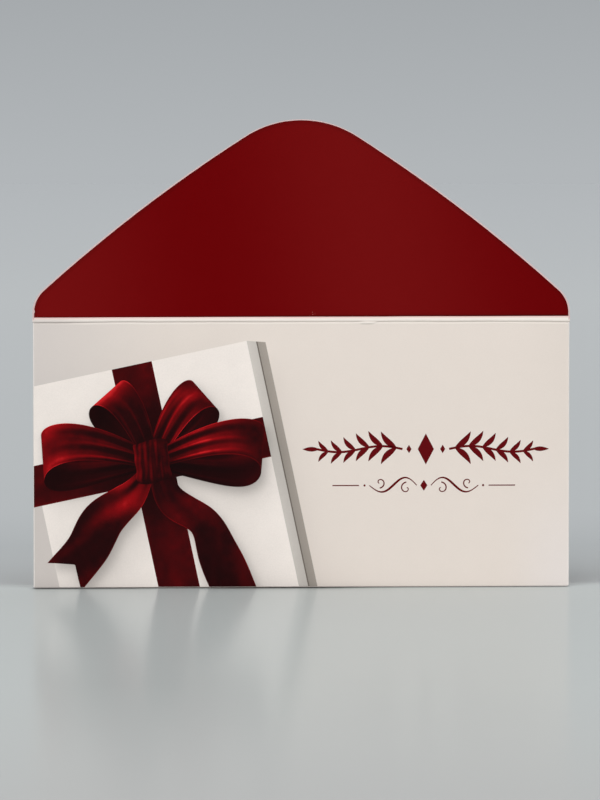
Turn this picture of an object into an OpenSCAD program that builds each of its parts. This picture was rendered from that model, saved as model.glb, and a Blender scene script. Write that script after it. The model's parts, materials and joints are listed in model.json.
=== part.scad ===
// Money envelope: one creased and glued sheet of card, standing on its bottom fold with the flap open.
// X runs along the width, Y from the printed front to the back, Z up.
// The origin is the middle of the line where the back panel's outer face meets the table.

/* [Pocket] */
// Width of the envelope, from side fold to side fold
body_w = 165; // [120:1:240]
// Height of the front panel, from the standing face to the middle of the flap's crease
body_h = 82; // [70:1:160]
// Clear gap between the front panel and the glue tabs, where the banknotes lie
pocket_gap = 0.3; // [0.25:0.05:4]
// Drop from the flap's crease to the back panel's top edge
throat_drop = 12; // [8:1:30]
// Radius of the back panel's two top corners
back_corner_r = 4; // [1:0.5:8]
// How far the back panel's cut ends stand in from the side folds
back_inset = 0.5; // [0.2:0.1:2]

/* [Card] */
// Thickness of the card
card_t = 0.3; // [0.2:0.05:0.6]
// Inside radius of a pressed fold
fold_in_r = 0.1; // [0.05:0.01:0.12]
// How far the bottom fold's ends are clipped back from the side folds
fold_clip = 0.3; // [0.1:0.1:1]

/* [Flap] */
// Height of the flap, from the middle of its crease to its tip
flap_h = 61.8; // [50:0.1:66]
// How far each end of the flap stands in from the pocket's end
flap_inset = 0.2; // [0:0.1:2]
// Height of the flap's straight ends above the crease
flap_shoulder_h = 2.5; // [1:0.1:6]
// Radius of the flap's two lower corners
flap_corner_r = 9.4; // [4:0.1:14]
// Radius of the flap's long, slightly bowed sides
flap_side_r = 480; // [250:10:2000]
// Radius of the flap's round tip
flap_tip_r = 31.9; // [12:0.1:40]
// Backward lean of the open flap, in degrees
flap_lean = 3; // [0:0.5:15]

/* [Flap crease] */
// Height of the scored strip
crease_w = 0.8; // [0.6:0.05:1.5]
// Width of the groove that the scoring rule leaves in the printed face
groove_w = 0.6; // [0.3:0.05:0.6]
// Depth of that groove
groove_d = 0.1; // [0.03:0.01:0.15]
// Width of the bead that the rule raises on the inner face
bead_w = 0.5; // [0.3:0.05:0.6]
// Height of that bead
bead_h = 0.12; // [0.05:0.01:0.2]
// Gap between the scored strip and the flap's lower edge
flap_gap = 0.05; // [0.02:0.01:0.2]
// Gap between the closed flap and the back panel
closed_gap = 0.1; // [0.05:0.05:0.5]

/* [Glue tabs] */
// Width of a glue tab, from the side fold to its free edge
tab_w = 14; // [9:0.5:25]
// Drop from the scored strip to a tab's top end, along the side fold
tab_top_drop = 1.5; // [0.5:0.5:6]
// Slope of a tab's top end, in degrees
tab_top_slope = 42; // [10:1:50]
// Rise from the bottom fold to a tab's lower end, along the side fold
tab_foot_rise = 1; // [0.5:0.5:6]
// Slope of a tab's lower end, in degrees
tab_foot_slope = 12; // [5:1:40]

/* [Glue] */
// Width of a glue line
glue_w = 5; // [2:0.5:8]
// Thickness of the dried glue
glue_t = 0.05; // [0.03:0.01:0.15]
// Distance from a glue line to the tab's free edge
glue_edge = 2; // [1:0.5:4]
// Distance from a glue line's end to the tab's end or the back panel's top edge
glue_end = 4; // [1:0.5:10]

/* [Hidden] */
$fn = 48;
// Steps in the flap's corner, side and tip arcs
corner_steps = 12;
side_steps = 12;
tip_steps = 28;

// Depths of the folded stack, from the front panel's printed face to each layer's outer face
side_t = 2 * card_t + pocket_gap;
body_t = side_t + glue_t + card_t;
front_y = -body_t;
tab_y = front_y + card_t + pocket_gap;
glue_y = front_y + side_t;

fold_out_r = fold_in_r + card_t;
half_w = body_w / 2;
front_half_w = half_w - fold_out_r;
back_half_w = half_w - back_inset;
crease_half_w = half_w - flap_inset;
crease_z = body_h - crease_w / 2;
throat_z = body_h - throat_drop;

// The flap turns about a line behind its crease, so that it closes flat against the back panel
hinge_y = (closed_gap + front_y + card_t) / 2;

// Centres of the flap's corner, tip and side arcs, measured from the middle of the crease.
// Each arc runs on smoothly from the last, so the side arc's centre is in line with both their ends.
corner_c = [crease_half_w - flap_corner_r, flap_shoulder_h];
tip_c = [0, flap_h - flap_tip_r];
centres_gap = norm(tip_c - corner_c);
centres_dir = (tip_c - corner_c) / centres_gap;
side_to_corner = flap_side_r - flap_corner_r;
side_to_tip = flap_side_r - flap_tip_r;
side_along = (pow(side_to_corner, 2) - pow(side_to_tip, 2) + pow(centres_gap, 2)) / (2 * centres_gap);
side_across = sqrt(pow(side_to_corner, 2) - pow(side_along, 2));
side_c = corner_c + side_along * centres_dir + side_across * [-centres_dir[1], centres_dir[0]];
corner_end = atan2(corner_c[1] - side_c[1], corner_c[0] - side_c[0]);
side_end = atan2(tip_c[1] - side_c[1], tip_c[0] - side_c[0]);

// A glue tab's ends, at the side fold and at its free edge
tab_foot_z = fold_out_r + tab_foot_rise;
tab_top_z = crease_z - tab_top_drop;
tab_foot_edge_z = tab_foot_z + tab_w * tan(tab_foot_slope);
tab_top_edge_z = tab_top_z - tab_w * tan(tab_top_slope);
tab_edge_x = half_w - fold_out_r - tab_w;
glue_foot_z = tab_foot_edge_z + glue_end;
glue_top_z = min(tab_top_edge_z, throat_z) - glue_end;

// Colours of the printed face, the unprinted card and the dried glue
cream = [0.89, 0.86, 0.83];
dark_red = [0.42, 0.03, 0.04];
white_card = [0.95, 0.94, 0.91];
dry_glue = [0.86, 0.82, 0.68];

// Points along an arc, from one angle to another
function arc(centre, r, from, to, steps) =
    [for (i = [0:steps]) let (a = from + (to - from) * i / steps) centre + r * [cos(a), sin(a)]];

// The right half of the flap's outline, from its lower edge to its tip
function flap_half(base_h) = concat(
    [[crease_half_w, base_h]],
    arc(corner_c, flap_corner_r, 0, corner_end, corner_steps),
    arc(side_c, flap_side_r, corner_end, side_end, side_steps),
    arc(tip_c, flap_tip_r, side_end, 90, tip_steps));

// The same points in reverse order on the other side of the middle
function mirrored(points) = [for (i = [len(points) - 1:-1:0]) [-points[i][0], points[i][1]]];

// Round the two outer corners of a fold's section, with the given radius about the fold's own centres
module fold_round(depth, r) {
    for (v = [fold_out_r, depth - fold_out_r]) translate([fold_out_r, v]) circle(r);
    translate([fold_out_r - r, fold_out_r]) square([r, depth - 2 * fold_out_r]);
}

// Section of a pressed fold: it starts at its outer face and ends where the flat panels begin
module fold_section(depth) {
    difference() {
        intersection() {
            fold_round(depth, fold_out_r);
            square([fold_out_r, depth]);
        }
        fold_round(depth, fold_in_r);
    }
}

// Section of the scored strip: a groove in the printed face and a bead on the inner face
module crease_section() {
    groove_r = (pow(groove_w / 2, 2) + pow(groove_d, 2)) / (2 * groove_d);
    bead_r = (pow(bead_w / 2, 2) + pow(bead_h, 2)) / (2 * bead_h);
    difference() {
        square([crease_w, card_t]);
        translate([crease_w / 2, groove_d - groove_r]) circle(groove_r);
    }
    intersection() {
        translate([crease_w / 2, card_t + bead_h - bead_r]) circle(bead_r);
        translate([0, card_t - groove_d]) square([crease_w, groove_d + bead_h]);
    }
}

// A section whose first axis points up and whose second points back, drawn out along the width
module along_width(half_length) {
    translate([half_length, front_y, 0]) rotate([0, -90, 0]) linear_extrude(2 * half_length) children();
}

// A flat panel of card, its outline drawn in width and height, its printed face at the given depth
module panel(y, t = card_t) {
    translate([0, y + t, 0]) rotate([90, 0, 0]) linear_extrude(t) children();
}

// Printed front of the pocket
module front_panel() {
    color(cream) panel(front_y)
        translate([-front_half_w, fold_out_r]) square([2 * front_half_w, crease_z - fold_out_r]);
}

// Scored line that the flap folds along
module flap_crease() {
    color(cream) translate([0, 0, crease_z]) along_width(crease_half_w) crease_section();
}

// Closing flap, leaning back a little from the crease as it stands open
module flap() {
    base_h = crease_w / 2 + flap_gap;
    color(dark_red)
        translate([0, hinge_y, body_h]) rotate([-flap_lean, 0, 0]) translate([0, -hinge_y, 0])
        panel(front_y) polygon(concat(flap_half(base_h), mirrored(flap_half(base_h))));
}

// Pressed fold between the front and the back, which the envelope stands on
module bottom_fold() {
    color(cream) along_width(half_w - fold_clip) fold_section(body_t);
}

// Back of the pocket, open along its top edge
module back_panel() {
    color(dark_red) panel(-card_t) {
        translate([-back_half_w, fold_out_r])
            square([2 * back_half_w, throat_z - back_corner_r - fold_out_r]);
        translate([-back_half_w + back_corner_r, fold_out_r])
            square([2 * (back_half_w - back_corner_r), throat_z - fold_out_r]);
        for (side = [-1, 1])
            translate([side * (back_half_w - back_corner_r), throat_z - back_corner_r])
            circle(back_corner_r);
    }
}

// Fold at one end of the pocket; the other end is its mirror image
module side_fold() {
    color(cream) translate([-half_w, front_y, fold_out_r])
        linear_extrude(crease_z - fold_out_r) fold_section(side_t);
}

// Tab folded in behind the front panel at one end, with sloping ends
module glue_tab() {
    color(white_card) panel(tab_y) polygon([
        [-front_half_w, tab_foot_z],
        [-tab_edge_x, tab_foot_edge_z],
        [-tab_edge_x, tab_top_edge_z],
        [-front_half_w, tab_top_z]]);
}

// Dried glue between one tab and the back panel, a strip with round ends
module glue_line() {
    glue_r = glue_w / 2;
    glue_x = -tab_edge_x - glue_edge - glue_r;
    color(dry_glue) panel(glue_y, glue_t) {
        translate([glue_x - glue_r, glue_foot_z + glue_r])
            square([glue_w, glue_top_z - glue_foot_z - glue_w]);
        for (z = [glue_foot_z + glue_r, glue_top_z - glue_r]) translate([glue_x, z]) circle(glue_r);
    }
}

front_panel();
flap_crease();
flap();
bottom_fold();
back_panel();
side_fold();  // left_side_fold
mirror([1, 0, 0]) side_fold();  // right_side_fold
glue_tab();  // left_glue_tab
mirror([1, 0, 0]) glue_tab();  // right_glue_tab
glue_line();  // left_glue_line
mirror([1, 0, 0]) glue_line();  // right_glue_line
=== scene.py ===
"""Looks of the money envelope: card, print, creases and worn edges, with the stage, lamps and camera.

Lengths are in millimetres until piece() writes a mesh, which is in metres like the frame. Colours are
display bytes until tone() makes them scene-linear.
"""
import json
from math import atan, atan2, cos, pi, radians, sin, sqrt, tan

import bmesh
import bpy
import numpy as np
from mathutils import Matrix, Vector
from mathutils.geometry import delaunay_2d_cdt

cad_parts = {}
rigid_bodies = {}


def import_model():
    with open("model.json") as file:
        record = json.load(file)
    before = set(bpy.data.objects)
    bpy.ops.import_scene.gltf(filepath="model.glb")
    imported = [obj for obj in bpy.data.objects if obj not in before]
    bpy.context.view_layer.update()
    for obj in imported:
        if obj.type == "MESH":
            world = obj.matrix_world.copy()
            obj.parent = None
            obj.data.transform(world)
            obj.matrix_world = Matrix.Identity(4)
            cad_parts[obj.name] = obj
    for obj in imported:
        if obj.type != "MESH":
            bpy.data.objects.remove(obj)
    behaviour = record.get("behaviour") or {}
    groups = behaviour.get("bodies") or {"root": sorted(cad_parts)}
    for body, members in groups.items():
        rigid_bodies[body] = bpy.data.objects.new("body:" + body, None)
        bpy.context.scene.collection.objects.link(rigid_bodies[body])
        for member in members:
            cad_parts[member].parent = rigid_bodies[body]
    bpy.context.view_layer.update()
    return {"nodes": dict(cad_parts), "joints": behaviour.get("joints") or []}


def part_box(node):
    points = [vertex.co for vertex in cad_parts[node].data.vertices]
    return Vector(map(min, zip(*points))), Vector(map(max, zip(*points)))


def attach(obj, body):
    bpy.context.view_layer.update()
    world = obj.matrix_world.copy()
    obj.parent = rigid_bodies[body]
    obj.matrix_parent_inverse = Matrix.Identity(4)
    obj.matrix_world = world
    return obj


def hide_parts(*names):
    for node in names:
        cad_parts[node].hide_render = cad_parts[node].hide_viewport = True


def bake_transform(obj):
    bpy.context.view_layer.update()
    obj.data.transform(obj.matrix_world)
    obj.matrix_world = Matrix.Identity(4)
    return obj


MM = 0.001
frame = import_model()


def cad(name):
    """A CAD node's lowest and highest corner, to the nearest micrometre."""
    return np.round(np.array(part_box(name)) / MM, 3)


# Sizes of the solids, read from the frame
FRONT, SIDE, FOOT, BACK, CREASE, TAB = map(cad, (
    "front_panel", "left_side_fold", "bottom_fold", "back_panel", "flap_crease", "right_glue_tab"))
FRONT_HALF_W, FOOT_HALF_W, BACK_HALF_W, CREASE_HALF_W = (box[1, 0] for box in (FRONT, FOOT, BACK, CREASE))
CARD, SIDE_T, BODY_T = (box[1, 1] - box[0, 1] for box in (FRONT, SIDE, FOOT))
SIDE_TOP_Z, THROAT_Z, BODY_H = SIDE[1, 2], BACK[1, 2], CREASE[:, 2].mean()
TAB_EDGE_X, TAB_FOOT_Z, TAB_TOP_Z = TAB[0, 0], TAB[0, 2], TAB[1, 2]
FRONT_Y, FOLD_R = FRONT[0, 1:]
FOLD_IN_R = FOLD_R - CARD
HINGE_Y = frame["joints"][0]["pos_m"][1] / MM

# Sizes of the solids that their boxes don't give. A tab's ends slope from the side fold to its free edge
FLAP_H, CORNER_R, SHOULDER_H, SIDE_R, TIP_R, LEAN = 61.8, 9.4, 2.5, 480.0, 31.9, radians(3)
BACK_CORNER_R, TAB_FOOT_RISE, TAB_TOP_FALL = 4.0, 2.98, 12.61

# How far the flap's cut edge stands out past the CAD flap, and how wide its worn corner is at the crease
EDGE_OUT = 0.32
WORN = EDGE_OUT + 0.15

# Heights where the strip of card at the crease starts and ends, and where it bends
WEB_FROM, WEB_TO, BEND_FROM, BEND_TO = 80.5, 84.2, 81.0, 83.1

SIDES = ((-1, "left"), (1, "right"))


# Colours, noise and points
def tone(r, g, b):
    """A colour given in display bytes, as scene-linear values."""
    c = np.array([r, g, b]) / 255
    return np.where(c <= 0.04045, c / 12.92, ((c + 0.055) / 1.055) ** 2.4)


CREAM, CREAM_LEFT, CREAM_FOOT = tone(232, 221, 212), tone(213, 205, 200), tone(232, 223, 218)
# The second red is painted sheen, for the paler bands on the flap and the back
RED_DEEP, RED_SHEEN, RED_LINE, INK = tone(105, 2, 5), tone(114, 13, 14), tone(56, 9, 7), tone(98, 8, 14)
# The last colour is pale rubbed card for the folds; on the side folds it is also a painted highlight
CORE, INSIDE, RIM, WEAR_AND_HIGHLIGHT = tone(240, 236, 230), tone(238, 235, 229), tone(211, 182, 180), tone(242, 236, 232)


def soft(t):
    """A smooth step from 0 to 1 while t goes from 0 to 1."""
    t = np.clip(t, 0, 1)
    return t * t * (3 - 2 * t)


def bell(offset, width):
    """1 at no offset, falling to nothing about two widths away."""
    return np.exp(-(offset / width) ** 2)


def waved(t):
    """A cosine that turns once while t grows by 2."""
    return np.cos(pi * t)


def between(grid, i, j, k, l, a, b):
    """A grid's value at shares a of the way from i to k and b from j to l."""
    low = grid[i, j] * (1 - a) + grid[k, j] * a
    high = grid[i, l] * (1 - a) + grid[k, l] * a
    return low * (1 - b) + high * b


def noise(u, v, seed, size=64):
    """Smooth value noise from 0 to 1, one cell to a unit of u and v."""
    cells = np.random.default_rng(seed).random((size, size))
    u, v = np.asarray(u, float) % size, np.asarray(v, float) % size
    i, j = np.floor(u).astype(int), np.floor(v).astype(int)
    a, b = soft(u - i), soft(v - j)
    i, j = i % size, j % size
    return between(cells, i, j, (i + 1) % size, (j + 1) % size, a, b)


def mixed(a, b, t):
    """The colour at share t of the way from a to b."""
    t = np.asarray(t)[..., None]
    return np.asarray(a) * (1 - t) + np.asarray(b) * t


def joined(*coordinates):
    return np.stack(np.broadcast_arrays(*coordinates), -1)


def crossed(u, v):
    return np.meshgrid(u, v, indexing="ij")


def unit(v):
    """Vectors brought to length 1."""
    return v / np.maximum(np.linalg.norm(v, axis=-1), 1e-9)[..., None]


def left_of(way):
    """A direction in the picture, turned left by a right angle."""
    return joined(-way[..., 1], way[..., 0])


def turned(x, z, angle):
    """A point turned about the origin."""
    c, s = np.cos(angle), np.sin(angle)
    return x * c - z * s, x * s + z * c


# Materials
class Tree:
    """The nodes of a material or the world. Most methods add a node and return what comes out of it."""

    def __init__(self, owner, empty=False):
        owner.use_nodes = True
        self.nodes, self.links = owner.node_tree.nodes, owner.node_tree.links
        if empty:
            self.nodes.clear()

    def put(self, socket, value):
        """Links an output to a socket, or sets its number or colour."""
        if isinstance(value, bpy.types.NodeSocket):
            self.links.new(value, socket)
        else:
            socket.default_value = value

    def add(self, kind, inputs=None, **settings):
        made = self.nodes.new("ShaderNode" + kind)
        for key, value in settings.items():
            setattr(made, key, value)
        for key, value in (inputs or {}).items():
            self.put(made.inputs[key], value)
        return made

    def noise(self, where, scale, detail, rough=0.55, stretch=(1, 1, 1)):
        at = self.add("Mapping", {"Vector": where, "Scale": stretch}).outputs[0]
        values = {"Vector": at, "Scale": scale, "Detail": detail, "Roughness": rough}
        return self.add("TexNoise", values).outputs["Fac"]

    def ranged(self, value, start, end, low=0, high=1, clamp=True):
        """Carries a value from the range start to end into the range low to high."""
        values = {"Value": value, "From Min": start, "From Max": end, "To Min": low, "To Max": high}
        return self.add("MapRange", values, clamp=clamp).outputs["Result"]

    def math(self, operation, a, b=0, clamp=False):
        return self.add("Math", {0: a, 1: b}, operation=operation, use_clamp=clamp).outputs[0]

    def times(self, a, b):
        return self.math("MULTIPLY", a, b)

    def mix(self, share, a, b):
        """A colour between two, each three values or an output."""
        a, b = (c if isinstance(c, bpy.types.NodeSocket) else (*c, 1) for c in (a, b))
        return self.add("Mix", {0: share, 6: a, 7: b}, data_type="RGBA").outputs[2]

    def tinted(self, colour, shade):
        """The colour times a grey shade near 1."""
        return self.add("VectorMath", {0: colour, "Scale": shade}, operation="SCALE").outputs[0]

    def ramp(self, value, stops):
        """Colours at places that rise from 0 to 1."""
        made = self.add("ValToRGB", {0: value})
        for place, _ in stops[1:-1]:
            made.color_ramp.elements.new(place)
        for element, (_, colour) in zip(made.color_ramp.elements, stops):
            element.color = (*colour, 1)
        return made.outputs[0]

    def shaders(self, share, a, b):
        return self.add("MixShader", {0: share, 1: a.outputs[0], 2: b.outputs[0]})

    def bumps(self, shader, heights):
        """Chains bumps, each a height from 0 to 1 and its depth in metres."""
        last = None
        for height, deep in heights:
            made = self.add("Bump", {"Strength": 1.0, "Distance": deep, "Height": height})
            if last is not None:
                self.put(made.inputs["Normal"], last)
            last = made.outputs["Normal"]
        self.put(shader.inputs["Normal"], last)


def principled(name, roughness, **values):
    mat = bpy.data.materials.new(name)
    tree = Tree(mat)
    shader = tree.nodes["Principled BSDF"]
    for key, value in dict(values, Roughness=roughness).items():
        shader.inputs[key.replace("_", " ")].default_value = value
    return mat, tree, shader


def card_material(name, roughness, mottle, fibre=2.5e-6, wave=1.2e-4, **values):
    """Card whose colour is painted on the mesh, with fine mottling, surface grain and a slight waviness."""
    mat, tree, shader = principled(name, roughness, **values)
    rest = tree.add("Attribute", attribute_name="rest").outputs["Vector"]
    paint = tree.add("Attribute", attribute_name="print").outputs["Color"]
    grain, cloud = tree.noise(rest, 2600, detail=4, rough=0.6), tree.noise(rest, 160, detail=3)
    shade = tree.ranged(grain, 0.3, 0.7, 1 - mottle, 1 + mottle)
    patchy = tree.ranged(cloud, 0.3, 0.7, 1 - mottle / 2, 1 + mottle / 2)
    tree.put(shader.inputs["Base Color"], tree.tinted(tree.tinted(paint, shade), patchy))
    tree.put(shader.inputs["Roughness"], tree.ranged(cloud, 0.3, 0.7, roughness - 0.03, roughness + 0.03))
    waves = tree.noise(rest, 1, detail=1, stretch=(24, 24, 7))
    tree.bumps(shader, [(waves, wave), (grain, fibre)])
    return mat


def glue_material():
    mat, tree, shader = principled("dry_glue", 0.35, Transmission_Weight=0.2)
    dab = tree.noise(tree.add("TexCoord").outputs["Object"], 700, detail=4)
    tree.put(shader.inputs["Base Color"], tree.mix(dab, tone(208, 196, 158), tone(228, 219, 190)))
    tree.bumps(shader, [(dab, 2e-5)])
    return mat


front_mat = card_material("satin_cream_print", 0.34, mottle=0.012, Specular_IOR_Level=0.3)
flap_mat = card_material("satin_red_print", 0.34, mottle=0.014, wave=7e-4, Specular_IOR_Level=0.03)
bare_mat = card_material("bare_card", 0.82, mottle=0.03, fibre=8e-6, wave=1e-4)
ink_mat = card_material("printed_ink", 0.36, mottle=0.03, Specular_IOR_Level=0.08)
glue_mat = glue_material()

# Materials and slots of the pieces, and the places of the materials in those lists
CREAM_SLOT, RED_SLOT = "printed_cream_card", "printed_red_card"
CREAM_CARD, RED_CARD = ([front_mat, bare_mat], CREAM_SLOT), ([flap_mat, bare_mat], RED_SLOT)
CREASE_CARD, TAB_CARD = ([front_mat, bare_mat, flap_mat], CREAM_SLOT), ([bare_mat, bare_mat], "bare_card")
PRINTED, BARE, RED = 0, 1, 2


# Meshes
def placed(name, data):
    """A new object in the scene."""
    made = bpy.data.objects.new(name, data)
    bpy.context.scene.collection.objects.link(made)
    return made


def piece(name, points, faces, colours, look, body="pocket", mats=PRINTED, smooth=False):
    """A mesh in the frame, with its painted colour and its place at rest as attributes."""
    points = points * MM
    materials, slot = look
    mesh = bpy.data.meshes.new(name)
    mesh.from_pydata(points.tolist(), [], [list(map(int, f)) for f in faces])
    paint = np.c_[colours, np.ones(len(points))]
    for key, kind, field, values in (
            ("print", "FLOAT_COLOR", "color", paint), ("rest", "FLOAT_VECTOR", "vector", points)):
        mesh.attributes.new(key, kind, "POINT").data.foreach_set(field, values.astype(np.float32).ravel())
    for key, kind, values in (("material_index", np.int32, mats), ("use_smooth", bool, smooth)):
        mesh.polygons.foreach_set(key, np.broadcast_to(values, len(faces)).astype(kind))
    for mat in materials:
        mesh.materials.append(mat)
    mesh.update()
    made = placed(name, mesh)
    if body:
        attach(made, body)
    return made


def grid_faces(rows, columns, flip=False):
    i = np.arange(rows - 1)[:, None] * columns + np.arange(columns - 1)[None, :]
    quad = joined(i, i + 1, i + columns + 1, i + columns).reshape(-1, 4)
    return quad[:, ::-1] if flip else quad


class Build:
    """Collects points, faces, colours and materials of one piece."""

    def __init__(self):
        self.points, self.faces, self.colours, self.mats, self.smooth = [], [], [], [], []
        self.count = 0

    def add(self, points, faces, colours, mat=PRINTED, smooth=False):
        """Adds faces between points, with one material or one for each face."""
        points = np.asarray(points, float).reshape(-1, 3)
        self.points.append(points)
        self.colours.append(np.broadcast_to(np.asarray(colours, float).reshape(-1, 3), points.shape))
        self.faces += [[int(v) + self.count for v in f] for f in faces]
        self.mats += np.broadcast_to(mat, len(faces)).tolist()
        self.smooth += [smooth] * len(faces)
        self.count += len(points)

    def strip(self, a, b, colours, mat, closed=False):
        """Faces between two rows of points."""
        n = len(a)
        faces = [(i, (i + 1) % n, n + (i + 1) % n, n + i) for i in range(n if closed else n - 1)]
        self.add(np.r_[a, b], faces, colours, mat)

    def ink(self, x, z, lift, colours):
        """A grid of ink on the flat picture, facing the front, without what is folded to nothing."""
        faces = grid_faces(*x.shape)
        flat = joined(x.ravel(), z.ravel())[faces]
        d1, d2 = flat[:, 2] - flat[:, 0], flat[:, 3] - flat[:, 1]
        area = d1[:, 0] * d2[:, 1] - d1[:, 1] * d2[:, 0]
        faces = np.where((area < 0)[:, None], faces[:, ::-1], faces)[np.abs(area) > 1e-6]
        self.add(joined(x, lift, z), faces, colours)

    def done(self, name, look, body="pocket"):
        """Makes the piece, with the materials of its look."""
        return piece(name, np.concatenate(self.points), self.faces, np.concatenate(self.colours),
                     look, body, self.mats, self.smooth)


def slab(outer, inner, colours, ends, smooth=True, row_mats=PRINTED):
    """A sheet between two grids of points, printed outside, bare inside, with bare cut ends where asked.
    row_mats is the printed side's material, or one for each row of faces."""
    build = Build()
    rows, columns = outer.shape[:2]
    mats = np.repeat(np.broadcast_to(row_mats, rows - 1), columns - 1)
    build.add(outer, grid_faces(rows, columns), colours, mats, smooth)
    build.add(inner, grid_faces(rows, columns, flip=True), INSIDE, BARE, smooth)
    for wanted, end in zip(ends, (np.s_[0], np.s_[-1], np.s_[:, 0], np.s_[:, -1])):
        if wanted:
            build.strip(outer[end], inner[end], CORE, BARE)
    return build


def filled(outline, spacing, seams=()):
    """Triangles inside a closed outline, with points on a lattice and along the seams."""
    low, high = outline.min(0) + spacing / 2, outline.max(0)
    xs = np.arange(low[0], high[0], spacing)
    a, b = outline, np.roll(outline, -1, 0)
    inside = []
    for z in np.arange(low[1], high[1], spacing):
        crosses = (a[:, 1] > z) != (b[:, 1] > z)
        start, end = a[crosses].T, b[crosses].T
        cut = np.sort(start[0] + (z - start[1]) * (end[0] - start[0]) / (end[1] - start[1]))
        for lo, hi in zip(cut[::2], cut[1::2]):
            inside += [(x, z) for x in xs[(xs > lo + spacing * 0.4) & (xs < hi - spacing * 0.4)]]
    inside = np.array(inside).reshape(-1, 2)
    for seam in seams:
        gap = np.linalg.norm(inside[:, None] - seam[None], axis=-1).min(1)
        inside = np.r_[inside[gap > spacing * 0.3], seam]
    every = [Vector(p) for p in np.r_[outline, inside]]
    n = len(outline)
    got = delaunay_2d_cdt(every, [(i, (i + 1) % n) for i in range(n)], [list(range(n))], 1, 1e-6)
    return np.array([tuple(p) for p in got[0]]), [tuple(f) for f in got[2]]


def inset(outline, width):
    """The outline moved inwards by a width for each point; it runs anticlockwise."""
    before, after = (unit(left_of(step)) for step in (
        outline - np.roll(outline, 1, 0), np.roll(outline, -1, 0) - outline))
    n = before + after
    n /= np.maximum((n * before).sum(1), 0.3)[:, None]
    return outline + n * np.asarray(width).reshape(-1, 1)


def steps_along(line):
    """How far each point of a line is from its start, along the line."""
    return np.r_[0, np.cumsum(np.linalg.norm(np.diff(line, axis=0), axis=1))]


# How far the worn corner of a cut edge is rubbed down
CORNER_DROP = 0.07


def cut_card(outline, y, way, bevel, paint, held=(), spacing=2.5, rim=CORE, seams=()):
    """A flat card with a cut edge whose printed corner is worn to the white core.

    The printed side looks along way on Y. bevel is the worn width at each point, 0 where the card goes on in
    a fold. held are the points where such an edge begins. seams are lines where the paint changes sharply.
    """
    build = Build()
    held = np.asarray(held, int)
    ends = inset(outline, bevel)
    ends[held] = outline[held] - joined(np.sign(outline[held, 0]) * bevel[held], 0)

    def flat(p, at):
        return joined(p[:, 0], at, p[:, 1])

    p, faces = filled(ends, spacing, seams)
    build.add(flat(p, y), [f[::-way] for f in faces], paint(p))
    worn = flat(ends, y), flat(outline, y - way * np.where(bevel > 0, CORNER_DROP, 0))
    build.strip(*worn, rim, BARE, closed=True)
    build.strip(worn[1], flat(outline, y - way * CARD), CORE, BARE, closed=True)
    p, faces = filled(outline, spacing * 3)
    build.add(flat(p, y - way * CARD), [f[::way] for f in faces], INSIDE, BARE)
    return build


def turned_back(points, angle):
    """Points turned back about the flap's hinge by an angle, which may differ from point to point."""
    x, y, z = np.moveaxis(points, -1, 0)
    y, z = turned(y - HINGE_Y, z - BODY_H, -angle)
    return joined(x, HINGE_Y + y, BODY_H + z)


def on_front(x, z, lift=0.0):
    """Places points of the flat picture on the card: the front, and round the side and bottom folds."""
    side = np.clip((np.abs(x) - FRONT_HALF_W) / FOLD_R, 0, pi / 2)
    foot = np.clip((FOLD_R - z) / FOLD_R, 0, pi / 2)
    r = FOLD_R + lift
    return joined(np.where(side > 0, np.sign(x) * (FRONT_HALF_W + r * np.sin(side)), x),
                  FRONT_Y + FOLD_R - r * np.cos(np.maximum(side, foot)),
                  np.where(foot > 0, FOLD_R - r * np.sin(foot), z))


# The bow: ribbons of velvet, shaped in relief and then printed flat. Places are x across and z up
BOX_TURN = radians(12)
ALONG, UP = np.array([[cos(BOX_TURN), sin(BOX_TURN)], [-sin(BOX_TURN), cos(BOX_TURN)]])
BOX_CORNER, KNOT = np.array([[-17.0, 76.0], [-46.0, 39.0]])
SIDE_FACE = ALONG * 5.6 - UP * 1.6
BAND_W, RIBBON_W = 12.5, 13.5
KEY = unit(np.array([-0.42, 0.62, 0.66]))
VELVET = ((0.0, (18, 6, 6)), (0.22, (41, 6, 8)), (0.42, (70, 5, 8)),
          (0.62, (102, 5, 10)), (0.82, (141, 7, 14)), (1.0, (206, 32, 36)))


def velvet(t):
    """Colour of velvet at a brightness from 0 to 1."""
    places, colours = zip(*VELVET)
    channels = np.transpose([tone(*colour) for colour in colours])
    return joined(*(np.interp(np.clip(t, 0, 1), places, channel) for channel in channels))


def pile(surface, light, seed, gain=1.0):
    """Brightness of velvet on a grid of points (x, z, height): dark where it faces us, bright at a slant."""
    n = unit(np.cross(np.gradient(surface, axis=0), np.gradient(surface, axis=1)))
    n *= np.where(n[..., 2:] < 0, -1, 1)
    lit, away = np.clip(n @ KEY, 0, 1), 1 - np.clip(n[..., 2], 0, 1)
    t = 0.13 + 0.40 * lit ** 3.5 + 0.95 * away ** 1.2 * (0.30 + 0.70 * lit)
    x, z = surface[..., 0], surface[..., 1]
    crush = noise(x * 0.55 + 9, z * 0.55 + 5, seed) - 0.5
    fine = noise(x * 2.3, z * 2.3, seed + 1) - 0.5
    return (t * gain + 0.10 * crush + 0.045 * fine) * light


def hem(v, start=0.94, width=0.03):
    """1 on a ribbon's two bright edges, where v across it is near -1 and 1."""
    return np.clip((np.abs(v) - start) / width, 0, 1)


def at_knot(x, z, h, angle, side=1):
    """Turns a surface in the picture and moves it to the knot; side -1 mirrors it to the left."""
    x, z = turned(x, z, angle)
    return joined(side * x + KNOT[0], z + KNOT[1], h)


def spline(points, count):
    """A smooth curve through the points, evenly stepped between them."""
    p = np.asarray(points, float)
    p = np.r_[[2 * p[0] - p[1]], p, [2 * p[-1] - p[-2]]]
    out = []
    for t in np.linspace(0, len(p) - 3 - 1e-9, count):
        a, b, c, d = p[int(t):int(t) + 4]
        u = t - int(t)
        bend = (2 * a - 5 * b + 4 * c - d) * u ** 2 + (3 * b - a - 3 * c + d) * u ** 3
        out.append(0.5 * (2 * b + (c - a) * u + bend))
    return np.array(out)


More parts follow.
